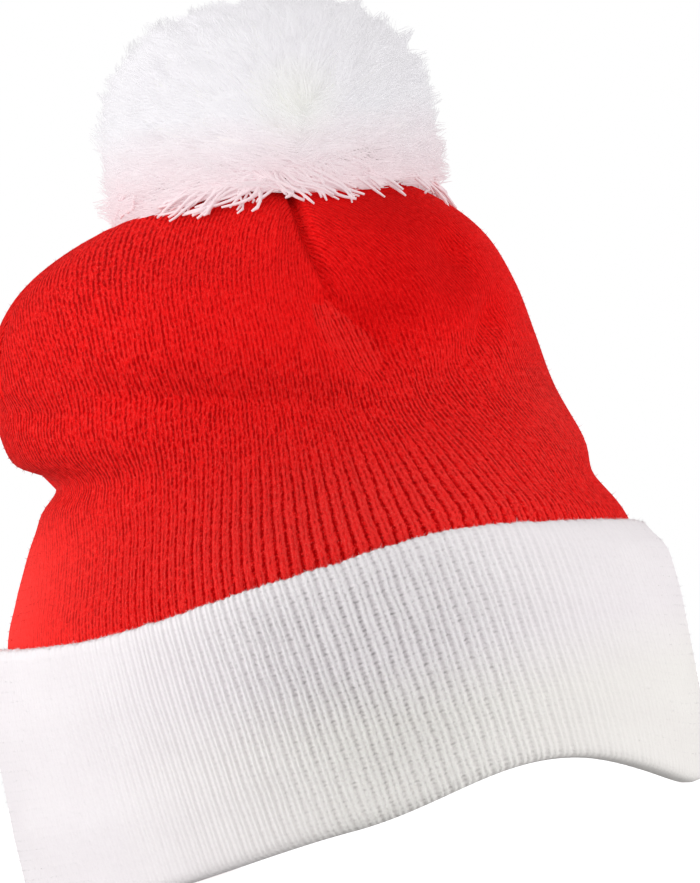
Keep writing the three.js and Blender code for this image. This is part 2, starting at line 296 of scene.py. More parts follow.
def ripple(angle, height, seed, scale):
    """Gentle unevenness of soft goods, about -1 to 1."""
    dice = np.random.default_rng(seed)
    total = 0
    for _ in range(6):
        turns = dice.integers(2, 11)
        rise = dice.uniform(-1, 1) / scale
        total = total + np.sin(np.radians(angle) * turns + height * rise + dice.uniform(0, 6.3))
    return total / 3


# Making meshes

def deselect():
    bpy.ops.object.select_all(action="DESELECT")


def grid_piece(name, points, uv, openness, crispness, painted_light_and_shade):
    """A sheet of knit: a grid drawn to points (rows, columns, 3), its last column met by its first.

    uv gives each face's corners (rows, columns, corner, 2), from low left round to high left.
    openness gives how far the ribs are stretched apart (rows, columns), crispness how clearly the
    closed stitches show, and the last array the painted light where above 0 and painted shade where
    below 0, laid on the knit's colour.
    """
    rows, columns = points.shape[:2]
    deselect()
    bpy.ops.mesh.primitive_grid_add(x_subdivisions=columns - 1, y_subdivisions=rows - 1, size=1)
    piece = bpy.context.object
    piece.name = name
    mesh = piece.data
    mesh.name = name
    mesh.vertices.foreach_set("co", (points * MM).astype(np.float32).ravel())
    corners = np.empty(len(mesh.loops), dtype=np.int32)
    mesh.loops.foreach_get("vertex_index", corners)
    corners = corners.reshape(-1, 4)
    face_row = corners.min(axis=1) // columns
    face_column = corners.min(axis=1) % columns
    high = corners // columns - face_row[:, None]
    right = corners % columns - face_column[:, None]
    corner = np.where(high == 0, right, 3 - right)
    layer = mesh.uv_layers.active or mesh.uv_layers.new(name="knit")
    layer.name = "knit"
    flat = uv[face_row[:, None], face_column[:, None], corner]
    layer.data.foreach_set("uv", flat.astype(np.float32).ravel())
    labelled = {"openness": openness, "crispness": crispness, "painted_light_and_shade": painted_light_and_shade}
    for label, values in labelled.items():
        layer = mesh.attributes.new(label, "FLOAT", "POINT")
        layer.data.foreach_set("value", values.astype(np.float32).ravel())
    mesh.update()
    bpy.ops.object.mode_set(mode="EDIT")
    bpy.ops.mesh.select_all(action="SELECT")
    bpy.ops.mesh.remove_doubles(threshold=1e-6)
    bpy.ops.mesh.normals_make_consistent(inside=False)
    bpy.ops.object.mode_set(mode="OBJECT")
    bpy.ops.object.shade_smooth()
    return piece


def array_piece(name, points, triangles):
    """A joined mesh of many small things, from arrays of points and triangles."""
    mesh = bpy.data.meshes.new(name)
    mesh.vertices.add(len(points))
    mesh.vertices.foreach_set("co", (points * MM).astype(np.float32).ravel())
    mesh.loops.add(triangles.size)
    mesh.loops.foreach_set("vertex_index", triangles.astype(np.int32).ravel())
    mesh.polygons.add(len(triangles))
    mesh.polygons.foreach_set("loop_start", np.arange(0, triangles.size, 3, dtype=np.int32))
    mesh.polygons.foreach_set("use_smooth", np.ones(len(triangles), dtype=bool))
    mesh.update(calc_edges=True)
    piece = bpy.data.objects.new(name, mesh)
    bpy.context.scene.collection.objects.link(piece)
    return piece


def strands(paths, radii, sides=3):
    """Points and triangles of round strands along paths (strand, point, 3) with their radii."""
    count, steps = paths.shape[:2]
    along = unit(np.gradient(paths, axis=1))
    helper = np.where(np.abs(along[:, :1, 2:3]) < 0.8, [[[0.0, 0.0, 1.0]]], [[[1.0, 0.0, 0.0]]])
    first = unit(np.cross(along, np.broadcast_to(helper, along.shape)))
    second = np.cross(along, first)
    turns = np.arange(sides) * 2 * np.pi / sides
    ring = first[:, :, None] * np.cos(turns)[:, None] + second[:, :, None] * np.sin(turns)[:, None]
    points = paths[:, :, None] + ring * radii[:, :, None, None]
    faces = []
    for step in range(steps - 1):
        for side in range(sides):
            beside = (side + 1) % sides
            low, high = step * sides, (step + 1) * sides
            faces.append((low + side, low + beside, high + beside))
            faces.append((low + side, high + beside, high + side))
    end = (steps - 1) * sides
    for side in range(1, sides - 1):
        faces.append((0, side + 1, side))
        faces.append((end, end + side, end + side + 1))
    triangles = np.array(faces)[None] + (np.arange(count) * steps * sides)[:, None, None]
    return points.reshape(-1, 3), triangles.reshape(-1, 3)


# Materials

class Tap:
    """One socket of a material's or the world's nodes. Sums of taps add Math nodes."""

    def __init__(self, tree, socket=None):
        self.tree = tree
        self.socket = socket

    def node(self, kind, settings=None, sockets=None, output=0):
        """Adds a node, sets it up, then fills its sockets with values or links."""
        added = self.tree.nodes.new(kind)
        for name, value in (settings or {}).items():
            setattr(added, name, value)
        for key, value in (sockets or {}).items():
            if isinstance(value, Tap):
                self.tree.links.new(value.socket, added.inputs[key])
            else:
                added.inputs[key].default_value = value
        return Tap(self.tree, added.outputs[output])

    def math(self, operation, first, second=0.0):
        return self.node("ShaderNodeMath", {"operation": operation}, {0: first, 1: second})

    def __add__(self, other):
        return self.math("ADD", self, other)

    def __sub__(self, other):
        return self.math("SUBTRACT", self, other)

    def __mul__(self, other):
        return self.math("MULTIPLY", self, other)

    def __truediv__(self, other):
        return self.math("DIVIDE", self, other)

    def __radd__(self, other):
        return self.math("ADD", other, self)

    def __rsub__(self, other):
        return self.math("SUBTRACT", other, self)

    def __rmul__(self, other):
        return self.math("MULTIPLY", other, self)

    def __abs__(self):
        return self.math("ABSOLUTE", self)

    def __pow__(self, other):
        return self.math("POWER", self, other)

    def fract(self):
        return self.math("FRACT", self)

    def cosine(self):
        return self.math("COSINE", self)

    def clipped(self):
        return self.node("ShaderNodeClamp", None, {"Value": self})

    def blend(self, low, high):
        """A colour between two others, this tap being the share."""
        return self.node(
            "ShaderNodeMix", {"data_type": "RGBA"}, {0: self, 6: low, 7: high}, output=2
        )

    def tinted(self, tint, share=1.0):
        """This colour multiplied by a tint, as far as the share goes."""
        return self.node(
            "ShaderNodeMix", {"data_type": "RGBA", "blend_type": "MULTIPLY"},
            {0: share, 6: self, 7: tint}, output=2,
        )


def new_material(name):
    material = bpy.data.materials.new(name)
    material.use_nodes = True
    tree = material.node_tree
    shader = next(node for node in tree.nodes if node.type == "BSDF_PRINCIPLED")
    return material, Tap(tree), shader


WARM_LIGHT_TOP = 0.052  # the height in metres under which a knit takes its painted warm light
WARM_LIGHT_FADE = 0.018
WARM_LIGHT_SIDE = 0.07  # how far left of the middle the painted warm light ends


def knit_material(
    name, dark, deep, base, bright, highlight, painted_warm_light, gap_depth, ladder, dash, grain, glint_share, sheen
):
    """Rib knit: pairs of yarn legs with ladder rungs between them where the ribs are stretched
    open, and fine broken lines of stitches where they are closed. The relief's height sets the colour:
    painted shade low in the valleys, gaps and dark holes between the rungs, painted light on the
    raised yarn and painted highlights on ridges, and painted glints on loose fuzz. The yarn is
    streaked along its fibres, and the low right has a painted warm light."""
    material, start, shader = new_material(name)
    tree = material.node_tree
    uv = start.node("ShaderNodeUVMap", {"uv_map": "knit"})
    wale = start.node("ShaderNodeSeparateXYZ", None, {0: uv})
    course = Tap(tree, wale.socket.node.outputs[1])
    opened = start.node("ShaderNodeAttribute", {"attribute_name": "openness"}, None, output=2)
    crisp = start.node("ShaderNodeAttribute", {"attribute_name": "crispness"}, None, output=2)
    # Painted light and painted shade, laid on the knit by the mesh.
    painted_light_share = start.node("ShaderNodeAttribute", {"attribute_name": "painted_light_and_shade"}, None, output=2)

    def noise(across, along, detail):
        spot = start.node(
            "ShaderNodeVectorMath", {"operation": "MULTIPLY"}, {0: uv, 1: (across, along, 1)}
        )
        return start.node(
            "ShaderNodeTexNoise", {"noise_dimensions": "2D"},
            {"Vector": spot, "Scale": 1.0, "Detail": detail, "Roughness": 0.6},
        )

    def dip(position, middle, reach):
        away = abs((position - (middle - 0.5)).fract() - 0.5)
        return ((away / reach).clipped() * (math.pi / 2)).cosine() ** 2

    wander = noise(1.1, 0.5, 2.0)
    uneven = noise(2.0, 0.8, 2.0)
    fibre = noise(6.0, 2.6, 4.0)
    streak = noise(1.6, 0.22, 3.0)
    fuzz = noise(9.0, 4.0, 2.0)
    blotch = noise(0.12, 0.1, 3.0)
    strand = noise(5.0, 0.75, 2.0)
    speck = noise(1.7, 1.0, 1.0)
    across = wale + (wander - 0.5) * 0.24
    climb = course + (uneven - 0.5) * 0.7
    valley = dip(across, VALLEY_MIDDLE, VALLEY_REACH)
    gap = dip(across, GAP_MIDDLE, GAP_REACH)
    rung = (climb * (2 * math.pi)).cosine() * 0.5 + 0.5
    hole = 1 - rung
    depth = (1 - ladder) + ladder * hole * (speck * 2.4 - 0.2).clipped()
    open_height = 1 - gap * depth * gap_depth - valley * depth

    fine = dip(wale * 2 + (uneven - 0.5) * 0.45, 0.5, 0.48)
    broken = (streak * 2.2 - 0.35).clipped() * (0.75 + 0.25 * hole)
    patch = (blotch * 2.2 - 0.45).clipped() * 0.5 + 0.5
    shown = 0.15 + 0.85 * crisp
    even = 0.62 + 0.33 * crisp
    closed_height = even - fine * broken * patch * crisp * dash - (0.5 - uneven) * 0.3 * shown

    height = opened * open_height + (1 - opened) * closed_height
    relief = height + ((fibre - 0.5) * 0.8 + (strand - 0.5) * grain) * shown
    bump = start.node("ShaderNodeBump", None, {"Strength": 0.8, "Distance": 0.0007, "Height": relief})
    streaks = ((fibre - 0.5) * 0.9 + (strand - 0.5) * grain) * shown
    # The colour follows the relief: painted shade where the knit lies low, painted light where it stands
    # high.
    tone = (height + streaks + (blotch - 0.5) * 0.25 + painted_light_share * 0.32).clipped()
    lower = (tone * 1.7).clipped().blend(deep, base)
    plain = (tone * 2.4 - 1.4).clipped().blend(lower, bright)
    # Painted shade in the holes between the rungs.
    hole_shade = opened * (valley + gap * 0.5).clipped() * hole ** 2 * (speck * 5 - 2.3).clipped()
    pitted = hole_shade.clipped().blend(plain, dark)
    # Painted highlight on the ridges of the stretched ribs.
    ridge_highlight = opened * (open_height * 1.6 - 0.6).clipped() * 0.3
    # Loose fuzz, painted as glints where it catches the light.
    fuzz_glints = ((fuzz + strand * 0.5) * 5 - 4.1).clipped() * crisp * glint_share
    # Painted light lightens the colour towards the palest colour; painted shade only lowers the tone
    # above.
    colour = painted_light_share.blend((fuzz_glints + ridge_highlight).clipped().blend(pitted, highlight), highlight)
    place = start.node("ShaderNodeTexCoord", None, None, output=3)
    beside = start.node("ShaderNodeSeparateXYZ", None, {0: place})
    level = Tap(tree, beside.socket.node.outputs[2])
    # Painted warm light, low on the right.
    low = ((WARM_LIGHT_TOP - level) / WARM_LIGHT_FADE).clipped()
    warm_light_share = low * ((beside + WARM_LIGHT_SIDE) / WARM_LIGHT_SIDE).clipped()
    tree.links.new(colour.tinted(painted_warm_light, warm_light_share).socket, shader.inputs["Base Color"])
    tree.links.new(bump.socket, shader.inputs["Normal"])
    rough = 0.82 + fibre * 0.16
    tree.links.new(rough.socket, shader.inputs["Roughness"])
    shader.inputs["Specular IOR Level"].default_value = 0.02
    shader.inputs["Sheen Weight"].default_value = sheen
    shader.inputs["Sheen Roughness"].default_value = 0.3
    shader.inputs["Sheen Tint"].default_value = highlight
    return material


# Painted red bounce light from the crown, low on the pompom.
RED_BOUNCE = (0.88, 0.72, 0.75, 1)
RED_BOUNCE_REACH = 0.024  # how far up from the crown the painted red bounce light reaches, in metres
RED_BOUNCE_LEAN = 0.11
RED_BOUNCE_RAGGED = 0.012
# Painted cream shade in the pompom's parting.
PARTING_SHADE = (0.87, 0.88, 0.77, 1)
PARTING_SHADE_REACH = 0.015
PARTING_SPOT = (0.0215, -0.042, 0.2135)
YARN_SHADE = (0.92, 0.92, 0.92, 1)  # on the pompom's right
SHADE_START = 0.005
SHADE_REACH = 0.045
# Where the painted glow fades out below the pompom's seat.
SEAT_LEAN = 0.05
SEAT_FADE = 0.01


def yarn_material(name, deep, base, lit, glow, seat):
    """Fluffed acrylic yarn, with painted red bounce light near the red crown, painted cream shade in its
    parting and painted shade on its right. Above the seat it has a painted glow, and only a share of it
    is lit from outside."""
    material, start, shader = new_material(name)
    tree = material.node_tree
    spot = start.node("ShaderNodeTexCoord", None, None, output=3)
    cloud = start.node(
        "ShaderNodeTexNoise", None, {"Vector": spot, "Scale": 55.0, "Detail": 3.0, "Roughness": 0.6}
    )
    place = start.node("ShaderNodeSeparateXYZ", None, {0: spot})
    height = Tap(tree, place.socket.node.outputs[2])
    # Painted red bounce light low on the yarn, near the crown, and painted cream shade in its parting.
    ragged = (cloud - 0.5) * RED_BOUNCE_RAGGED
    slope = (height + place * RED_BOUNCE_LEAN + ragged - POMPOM_SEAT * MM) / RED_BOUNCE_REACH
    own = cloud.blend(deep, base)
    away = start.node(
        "ShaderNodeVectorMath", {"operation": "DISTANCE"}, {0: spot, 1: PARTING_SPOT}, output=1
    )
    parting_shade = (1 - away / PARTING_SHADE_REACH).clipped() * 0.45
    clean = slope.clipped().blend(RED_BOUNCE, parting_shade.blend(own, PARTING_SHADE))
    right = ((place - SHADE_START) / SHADE_REACH).clipped()
    colour = right.blend(clean, clean.tinted(YARN_SHADE))
    tree.links.new(colour.tinted((lit, lit, lit, 1)).socket, shader.inputs["Base Color"])
    # Painted glow above the seat, fading out below it so that the underside stays dark.
    seated = (height + place * SEAT_LEAN - (POMPOM_SEAT + seat) * MM) / SEAT_FADE
    painted_glow_colour = seated.clipped().blend((0, 0, 0, 1), colour)
    tree.links.new(painted_glow_colour.socket, shader.inputs["Emission Color"])
    rough = 0.75 + cloud * 0.2
    tree.links.new(rough.socket, shader.inputs["Roughness"])
    shader.inputs["Specular IOR Level"].default_value = 0.15
    shader.inputs["Emission Strength"].default_value = glow
    shader.inputs["Sheen Weight"].default_value = 0.2
    shader.inputs["Sheen Roughness"].default_value = 0.5
    return material


def nap_material(name, colour):
    material, start, shader = new_material(name)
    spot = start.node("ShaderNodeTexCoord", None, None, output=3)
    cloud = start.node("ShaderNodeTexNoise", None, {"Vector": spot, "Scale": 900.0, "Detail": 1.0})
    tint = cloud.blend(tuple(0.8 * part for part in colour[:3]) + (1,), colour)
    material.node_tree.links.new(tint.socket, shader.inputs["Base Color"])
    shader.inputs["Roughness"].default_value = 0.9
    shader.inputs["Specular IOR Level"].default_value = 0.02
    return material


RED_GAP = 0.4  # depth of the gap between a rib's legs, as a share of its valley's
WHITE_GAP = 0.6
RED_KNIT = knit_material(
    "red_rib_knit",
    # Colours, darkest first: painted shade in the holes, painted shade in the valleys, the yarn, painted
    # light on raised yarn, and the palest for painted highlights, glints and the sheen.
    dark=(0.37, 0.0006, 0.0012, 1),
    deep=(0.51, 0.0010, 0.0016, 1),
    base=(0.90, 0.0076, 0.0078, 1),
    bright=(0.99, 0.0165, 0.0152, 1),
    highlight=(0.98, 0.085, 0.072, 1),
    painted_warm_light=(1, 1, 1, 1),
    gap_depth=RED_GAP,
    ladder=0.15,
    dash=1.6,
    grain=2.1,
    glint_share=0.7,
    sheen=0.12,
)
WHITE_KNIT = knit_material(
    "white_rib_knit",
    # Colours, darkest first: painted shade in the holes, painted shade in the valleys, the yarn, painted
    # light on raised yarn, and the palest for painted highlights, glints and the sheen.
    dark=(0.44, 0.41, 0.42, 1),
    deep=(0.68, 0.645, 0.66, 1),
    base=(0.80, 0.755, 0.775, 1),
    bright=(0.89, 0.855, 0.87, 1),
    highlight=(0.92, 0.895, 0.905, 1),
    # The cuff's painted warm light, low on its right.
    painted_warm_light=(1, 1.02, 0.965, 1),
    gap_depth=WHITE_GAP,
    ladder=0.45,
    dash=0.3,
    grain=0.8,
    glint_share=0.5,
    sheen=0.10,
)
POMPOM_YARN = yarn_material(
    "pompom_yarn", deep=(0.85, 0.83, 0.86, 1), base=(0.90, 0.885, 0.91, 1),
    lit=0.48, glow=0.61, seat=-12,
)
POMPOM_DEPTH = yarn_material(
    "pompom_depth", deep=(0.80, 0.79, 0.77, 1), base=(0.86, 0.85, 0.85, 1),
    lit=0.48, glow=0.66, seat=4,
)
POMPOM_STRAND = yarn_material(
    "pompom_strand", deep=(0.86, 0.80, 0.82, 1), base=(0.92, 0.88, 0.89, 1),
    lit=0.8, glow=0.22, seat=-20,
)
RED_NAP = nap_material("red_nap", (0.66, 0.012, 0.012, 1))
WHITE_NAP = nap_material("white_nap", (0.84, 0.82, 0.83, 1))


# Crown

CROWN_STEPS = 6  # columns of the mesh for each rib
COURSE = 1.4  # height of a row of stitches
RIB_HOLD = 0.6  # the place across a gore whose rib runs straight up to the tip
RIBS_SLACKEN = (82, 128)  # heights between which the ribs go from the cuff's spacing to the crown's
RIBS_CLOSE = (90, 126)  # heights where the stretched ribs start to close, and are closed
CLOSED_RIB = 0.05  # depth of a closed rib
OPEN_RIB = 0.87  # and what stretching adds to it
CROWN_PULL = (2.5, 5.5)  # degrees that the front's wales are pulled round, low and high up
PULL_LOW = (88, 150)
PULL_HIGH = (138, 188)
PULL_MIDDLE = -27
PULL_REACH = 46
PULL_ROUND = 8
FULL_RADIUS = 75.5  # the crown's mean radius above which all its ribs are there
NEAR_TIP = 11.9  # along the list of sections


def crown_rows():
    """Rows of the crown's outer face, closer together where it folds."""
    marks = [(0, 3), (2, 12), (4, 20), (6, 17), (8, 14), (10, 6), (NEAR_TIP, 1)]
    rows = []
    for (start, steps), (end, _) in zip(marks, marks[1:]):
        rows.extend(np.linspace(start, end, steps, endpoint=False))
    return np.array(rows + [NEAR_TIP, CROWN_TIP])


def rib_shrink(points):
    """The share of the ribs still there at each row; the rest have run into the dart seams."""
    radius = np.hypot(points[..., 0] - POMPOM_SHIFT / 2, points[..., 1])
    return np.minimum(1, np.mean(radius, axis=1, keepdims=True) / FULL_RADIUS)


def climb_along(points):
    """The length of knit from the first row to each point, evened out round the hat."""
    steps = np.linalg.norm(np.diff(points, axis=0, prepend=points[:1]), axis=-1)
    climb = np.cumsum(steps, axis=0)
    return (np.mean(climb, axis=1, keepdims=True) + climb) / 2


def corner_uv(wale_at, climb):
    """UV of each face's corners, from ribs counted across and rows of stitches counted up."""
    rows, columns = climb.shape
    uv = np.empty((rows - 1, columns - 1, 4, 2))
    for corner, (up, side) in enumerate([(0, 0), (0, 1), (1, 1), (1, 0)]):
        uv[:, :, corner, 0] = wale_at(up, side)
        uv[:, :, corner, 1] = climb[up:rows - 1 + up, side:columns - 1 + side] / COURSE
    return uv


def seam_relief(wale, points):
    """A dart seam's rolled edge, its groove, and the small gathers along one side of it."""
    arc = np.radians(from_dart(wale)) * np.hypot(points[..., 0], points[..., 1])
    height = points[..., 2]
    roll = 0.9 * np.exp(-(((arc + 2.0) / 1.7) ** 2))
    groove = 1.1 * np.exp(-(((arc - 0.6) / 0.8) ** 2))
    beat = 0.5 + 0.5 * np.cos(2 * np.pi * (height + arc * 1.1) / 2.5)
    gathers = 0.8 * beat * np.exp(-(((arc - 2.4) / 1.6) ** 2))
    return (roll - groove - gathers) * smoothstep(height, DART_START, DART_START + 16)


Dip = namedtuple("Dip", "angle height slope wide high depth")
CROWN_DIPS = [
    Dip(15.5, 149, -1.8, 6, 8, 3.0),
    Dip(20.5, 142, -0.7, 6.5, 8, 5.4),
    Dip(54, 163, 0, 5, 5, 2.2),
    Dip(59, 143, 0.5, 6, 4.5, 2.4),
    Dip(38, 151, 0, 5, 8, -1.0),
    Dip(-58, 141, -0.19, 18, 4.5, 2.4),
]


def dip_depth(angle, height):
    """Small soft dips and swells of the slack knit, and a crease on its left."""
    depth = 0
    for dip in CROWN_DIPS:
        away = turn(dip.angle, angle)
        above = (height - dip.height - dip.slope * away) / dip.high
        depth = depth + dip.depth * np.exp(-((away / dip.wide) ** 2) - above ** 2)
    return depth


def make_crown():
    columns = RIB_COUNT * CROWN_STEPS + 1
    count = np.linspace(0, RIB_COUNT, columns)
    per_gore = RIB_COUNT // DART_COUNT
    held = per_gore * RIB_HOLD

    def wales_on(rows):
        height = crown_section(rows)[0]
        wales = rib_angles(count, smoothstep(height, *RIBS_SLACKEN))
        low, high = CROWN_PULL
        pulled = low * smoothstep(height, *PULL_LOW) + high * smoothstep(height, *PULL_HIGH)
        away = np.hypot(turn(PULL_MIDDLE, wales), PULL_ROUND)
        share = np.maximum(0, (PULL_REACH - away) / (PULL_REACH - PULL_ROUND))
        return wales + pulled[:, None] * share

    outer_rows = crown_rows()
    wales = wales_on(outer_rows)
    rows = np.broadcast_to(outer_rows[:, None], wales.shape)
    skin = folded_crown(wales, rows)
    out = outward(folded_crown, wales, rows)
    height = skin[..., 2]
    angles = swung(wales, height)
    ribs = (count % per_gore - held) * rib_shrink(skin) + held
    strayed = RIB_STRAY * stray(count, height / STRAY_LENGTH, 51)
    plump = 1 + RIB_PLUMP * stray(count, height / PLUMP_LENGTH, 52)
    spread_open = 0.12 + 0.88 * bell(turn(RIB_FRONT, angles), 80)
    spread_open = spread_open + 0.6 * bell(turn(BACK, angles), 80)
    opened = spread_open * (1 - smoothstep(height, *RIBS_CLOSE))
    crisp = 1 - 0.78 * bell(turn(40, angles), 100) * smoothstep(height, 122, 150)
    crisp = crisp - 0.6 * bell(turn(-74, angles), 42) * (1 - smoothstep(height, 100, 118))
    depth = (CLOSED_RIB + OPEN_RIB * opened) * plump
    arc = np.abs(np.radians(from_dart(wales))) * np.hypot(skin[..., 0], skin[..., 1])
    depth = depth * np.where(height > DART_START - 12, smoothstep(arc, 0.3, 1.6), 1)
    relief = depth * (rib_profile(ribs + strayed, RED_GAP) - 1)
    relief = relief + 0.5 * ripple(angles, height, 5, 9) + 0.3
    relief = relief + seam_relief(wales, skin) - dip_depth(angles, height)
    outer = skin + out * relief[..., None]

    inner_rows = np.concatenate(
        [[CROWN_TIP], np.linspace(11.6, 8, 5), np.linspace(7.2, 4, 8), [2.5, 0]]
    )
    inner_wales = wales_on(inner_rows)
    inner_rows = np.broadcast_to(inner_rows[:, None], inner_wales.shape)
    inner = folded_crown(inner_wales, inner_rows)
    inner = inner - outward(folded_crown, inner_wales, inner_rows) * CROWN_KNIT
    tip = np.array([POMPOM_SHIFT, 0, CROWN_SECTIONS[-1].height - DART_DEPTH])
    outer[-1] = tip
    inner[0] = tip - [0, 0, CROWN_KNIT]

    points = np.concatenate([inner, outer])
    points[:, -1] = points[:, 0]
    openness = np.concatenate([np.full(inner.shape[:2], 0.3), opened])
    crispness = np.concatenate([np.full(inner.shape[:2], 0.7), crisp])
    # Painted light low on the left, in the tuck's underside and on the right, and painted shade at the
    # upper right.
    painted_crown_light = 0.48 * bell(turn(-88, angles), 60) * (1 - smoothstep(height, 90, 128))
    painted_crown_light = painted_crown_light + 0.45 * bell(turn(-95, angles), 34) * bell(height - 120, 14)
    painted_crown_light = painted_crown_light + 0.12 * bell(turn(70, angles), 24) * bell(height - 112, 24)
    painted_crown_light = painted_crown_light - 1.3 * bell(turn(46, angles), 50) * smoothstep(height, 130, 152)
    painted_light_and_shade = np.concatenate([np.zeros(inner.shape[:2]), painted_crown_light])
    strayed = np.concatenate([np.zeros(inner.shape[:2]), strayed])
    shrink = rib_shrink(points)
    face = np.arange(columns - 1)
    gore = face // (per_gore * CROWN_STEPS)

    def wale_at(up, side):
        middle = gore * per_gore + held
        place = (face + side) / CROWN_STEPS - middle
        aside = strayed[up:len(points) - 1 + up, side:columns - 1 + side]
        return place * shrink[up:len(points) - 1 + up] + middle + aside

    uv = corner_uv(wale_at, climb_along(points))
    piece = grid_piece("crown_knit", points, uv, openness, crispness, painted_light_and_shade)
    piece.data.materials.append(RED_KNIT)
    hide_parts("crown")
    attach(piece, "root")
    return piece, (outer, out)


# Cuff

CUFF_STEPS = 12  # columns of the mesh for each rib
CUFF_TWIST = 0.075  # degrees that the ribs lean back for each millimetre up
CUFF_BELLY = 2.0  # how far its soft right side bellies out
BELLY_MIDDLE = 90
BELLY_REACH = 60
BELLY_RISE = (2, 24)
CUFF_CORNER = 4.0  # how far that side rounds in again below its edge
CORNER_HEIGHT = 12
FOLD_RISE = 3.2  # how far up the fold at the rim takes to turn
OUTER_FACE = slice(12, 38)  # the mesh's rows over the cuff's outside
EDGE_ROWS = slice(36, 40)  # and over its turned-up edge


def make_cuff():
    columns = RIB_COUNT * CUFF_STEPS + 1
    wale = np.linspace(0, RIB_COUNT, columns)
    angle = rib_angles(wale, 0)[0]
    bottom = rim_wave(angle, "fold")
    ragged = 0.15 * stray(wale, 0, 62) + 0.2 * stray(wale * 3, 0, 63, RIB_COUNT * 3)
    ragged = ragged - 1.5 * bell(turn(9, angle), 22) + 0.7 * bell(turn(-28, angle), 22)
    top = CUFF_HEIGHT + rim_wave(angle, "edge") + ragged
    profile = rib_profile(wale, WHITE_GAP)
    stretched = 0.06 + 0.94 * bell(turn(RIB_FRONT + 2, angle), 43) ** 1.25
    stretched = stretched + 0.5 * bell(turn(BACK, angle), 70)
    ribbed = 0.08 + 0.92 * bell(turn(RIB_FRONT, angle), 68) + 0.6 * bell(turn(BACK, angle), 90)
    inner_face = CUFF_KNIT + LAYER_GAP + CROWN_KNIT

    # How far in from the full width each level lies, how high, and how strong its ribs are.
    levels = []
    inner_leg = [(4.4, 14.6), (inner_face, 14.6), (inner_face + 0.6, 9), (inner_face + 0.9, 4)]
    for inset, rise in inner_leg:
        levels.append((inset, bottom + rise, 0.3))
    for share in np.linspace(0, 1, 7):
        bend = math.pi * share
        inset = 1.0 + inner_face / 2 + math.cos(bend) * inner_face / 2
        levels.append((inset, bottom + FOLD_RISE - FOLD_RISE * math.sin(bend) ** 0.7, 0.3 + 0.3 * share))
    for share in np.linspace(0.06, 1, 26):
        inset = np.interp(share, [0.06, 0.3, 0.72, 0.95, 1], [0.9, 0, 0.1, 1.7, 2.4])
        strength = np.interp(share, [0, 0.25, 0.6, 0.86, 1], [0.45, 0.65, 1, 0.95, 0.55])
        levels.append((inset, bottom + (top - bottom) * share, strength))
    for inset, rise in [(3.0, 0.5), (4.2, 0.6), (5.6, 0.1), (6.4, -1.2)]:
        levels.append((inset, top + rise * (0.4 + 0.6 * profile), 0.5))
    for inset, drop in [(6.2, 12), (4.2, 36), (4.2, 60)]:
        levels.append((inset, np.maximum(top - drop, bottom + 14), 0.2))

    points = np.empty((len(levels) + 1, columns, 3))
    openness = np.empty((len(levels) + 1, columns))
    strayed = np.empty((len(levels) + 1, columns))
    for row, (inset, height, strength) in enumerate(levels):
        strayed[row] = RIB_STRAY * stray(wale, height / STRAY_LENGTH, 53)
        plump = 1 + RIB_PLUMP * stray(wale, height / PLUMP_LENGTH, 54)
        profile = rib_profile(wale + strayed[row], WHITE_GAP)
        depth = RIB_DEPTH * strength * ribbed * (1 - profile) * plump
        depth = depth - 0.35 * ripple(angle, height, 8, 14) * strength
        side = bell(turn(BELLY_MIDDLE, angle), BELLY_REACH)
        depth = depth - CUFF_BELLY * side * smoothstep(height, *BELLY_RISE)
        depth = depth + CUFF_CORNER * side * smoothstep(height, top - CORNER_HEIGHT, top) ** 2
        lean = CUFF_TWIST * (height - CUFF_HEIGHT / 2)
        sway = np.radians(angle - lean + 0.08 * ripple(angle, height, 11, 9))
        points[row, :, 0] = (CUFF_WIDTH / 2 - inset - depth) * np.sin(sway)
        points[row, :, 1] = -(CUFF_DEPTH / 2 - inset - depth) * np.cos(sway)
        points[row, :, 2] = np.maximum(height, 0)
        openness[row] = stretched * strength
    points[-1] = points[0]
    openness[-1] = openness[0]
    strayed[-1] = strayed[0]
    points[:, -1] = points[:, 0]

    def wale_at(up, side):
        aside = strayed[up:len(points) - 1 + up, side:columns - 1 + side]
        return wale[None, side:columns - 1 + side] + aside

    uv = corner_uv(wale_at, climb_along(points))
    crispness = smoothstep(openness, -0.1, 0.8)
    piece = grid_piece("cuff_knit", points, uv, openness, crispness, np.zeros_like(openness))
    piece.data.materials.append(WHITE_KNIT)
    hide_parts("cuff")
    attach(piece, "root")
    out = unit(points * [1 / CUFF_WIDTH ** 2, 1 / CUFF_DEPTH ** 2, 0])
    edge_out = unit(out[EDGE_ROWS] + [0, 0, 1.2])
    return piece, (points[OUTER_FACE], out[OUTER_FACE]), (points[EDGE_ROWS], edge_out)


# Pompom

POMPOM_SIZE = np.array([POMPOM_WIDTH / 2, POMPOM_WIDTH / 2, POMPOM_HEIGHT - POMPOM_MIDDLE])
BRUSHED_FROM = np.array([4.6, -42.0, -8.0])  # low on the front; the yarn is brushed away from it
PARTING = np.array([11.5, -42.0, 24.0])
PARTING_REACH = 9
PARTING_DEPTH = 3
CORE_INSET = 4.8  # how far the core lies under the yarn's outside
CORE_FLOOR = 3.5
LOCK_WIDTH = 1.9
LOCK_PINCH = 0.7  # how far a lock's fibres draw together at its tip
LOCK_LENGTH = (8, 13)
TUFT_SHARE = 0.14  # of the locks that stand up as tufts
TUFT_LIFT = 2.4
FIBRE_RADIUS = (0.1, 0.19)
HEM_MIDDLE = -22  # round the pompom, where the yarn's lower edge is highest
HEM_REACH = 46
HEM_LIFT = 4.6
HEM_LOWEST = -1.5
STRAND_RADIUS = (0.36, 0.52)
FRINGE_START = 43  # how far out from the pompom's middle the strands start
FRINGE_RISE = 9  # and how far above the crown


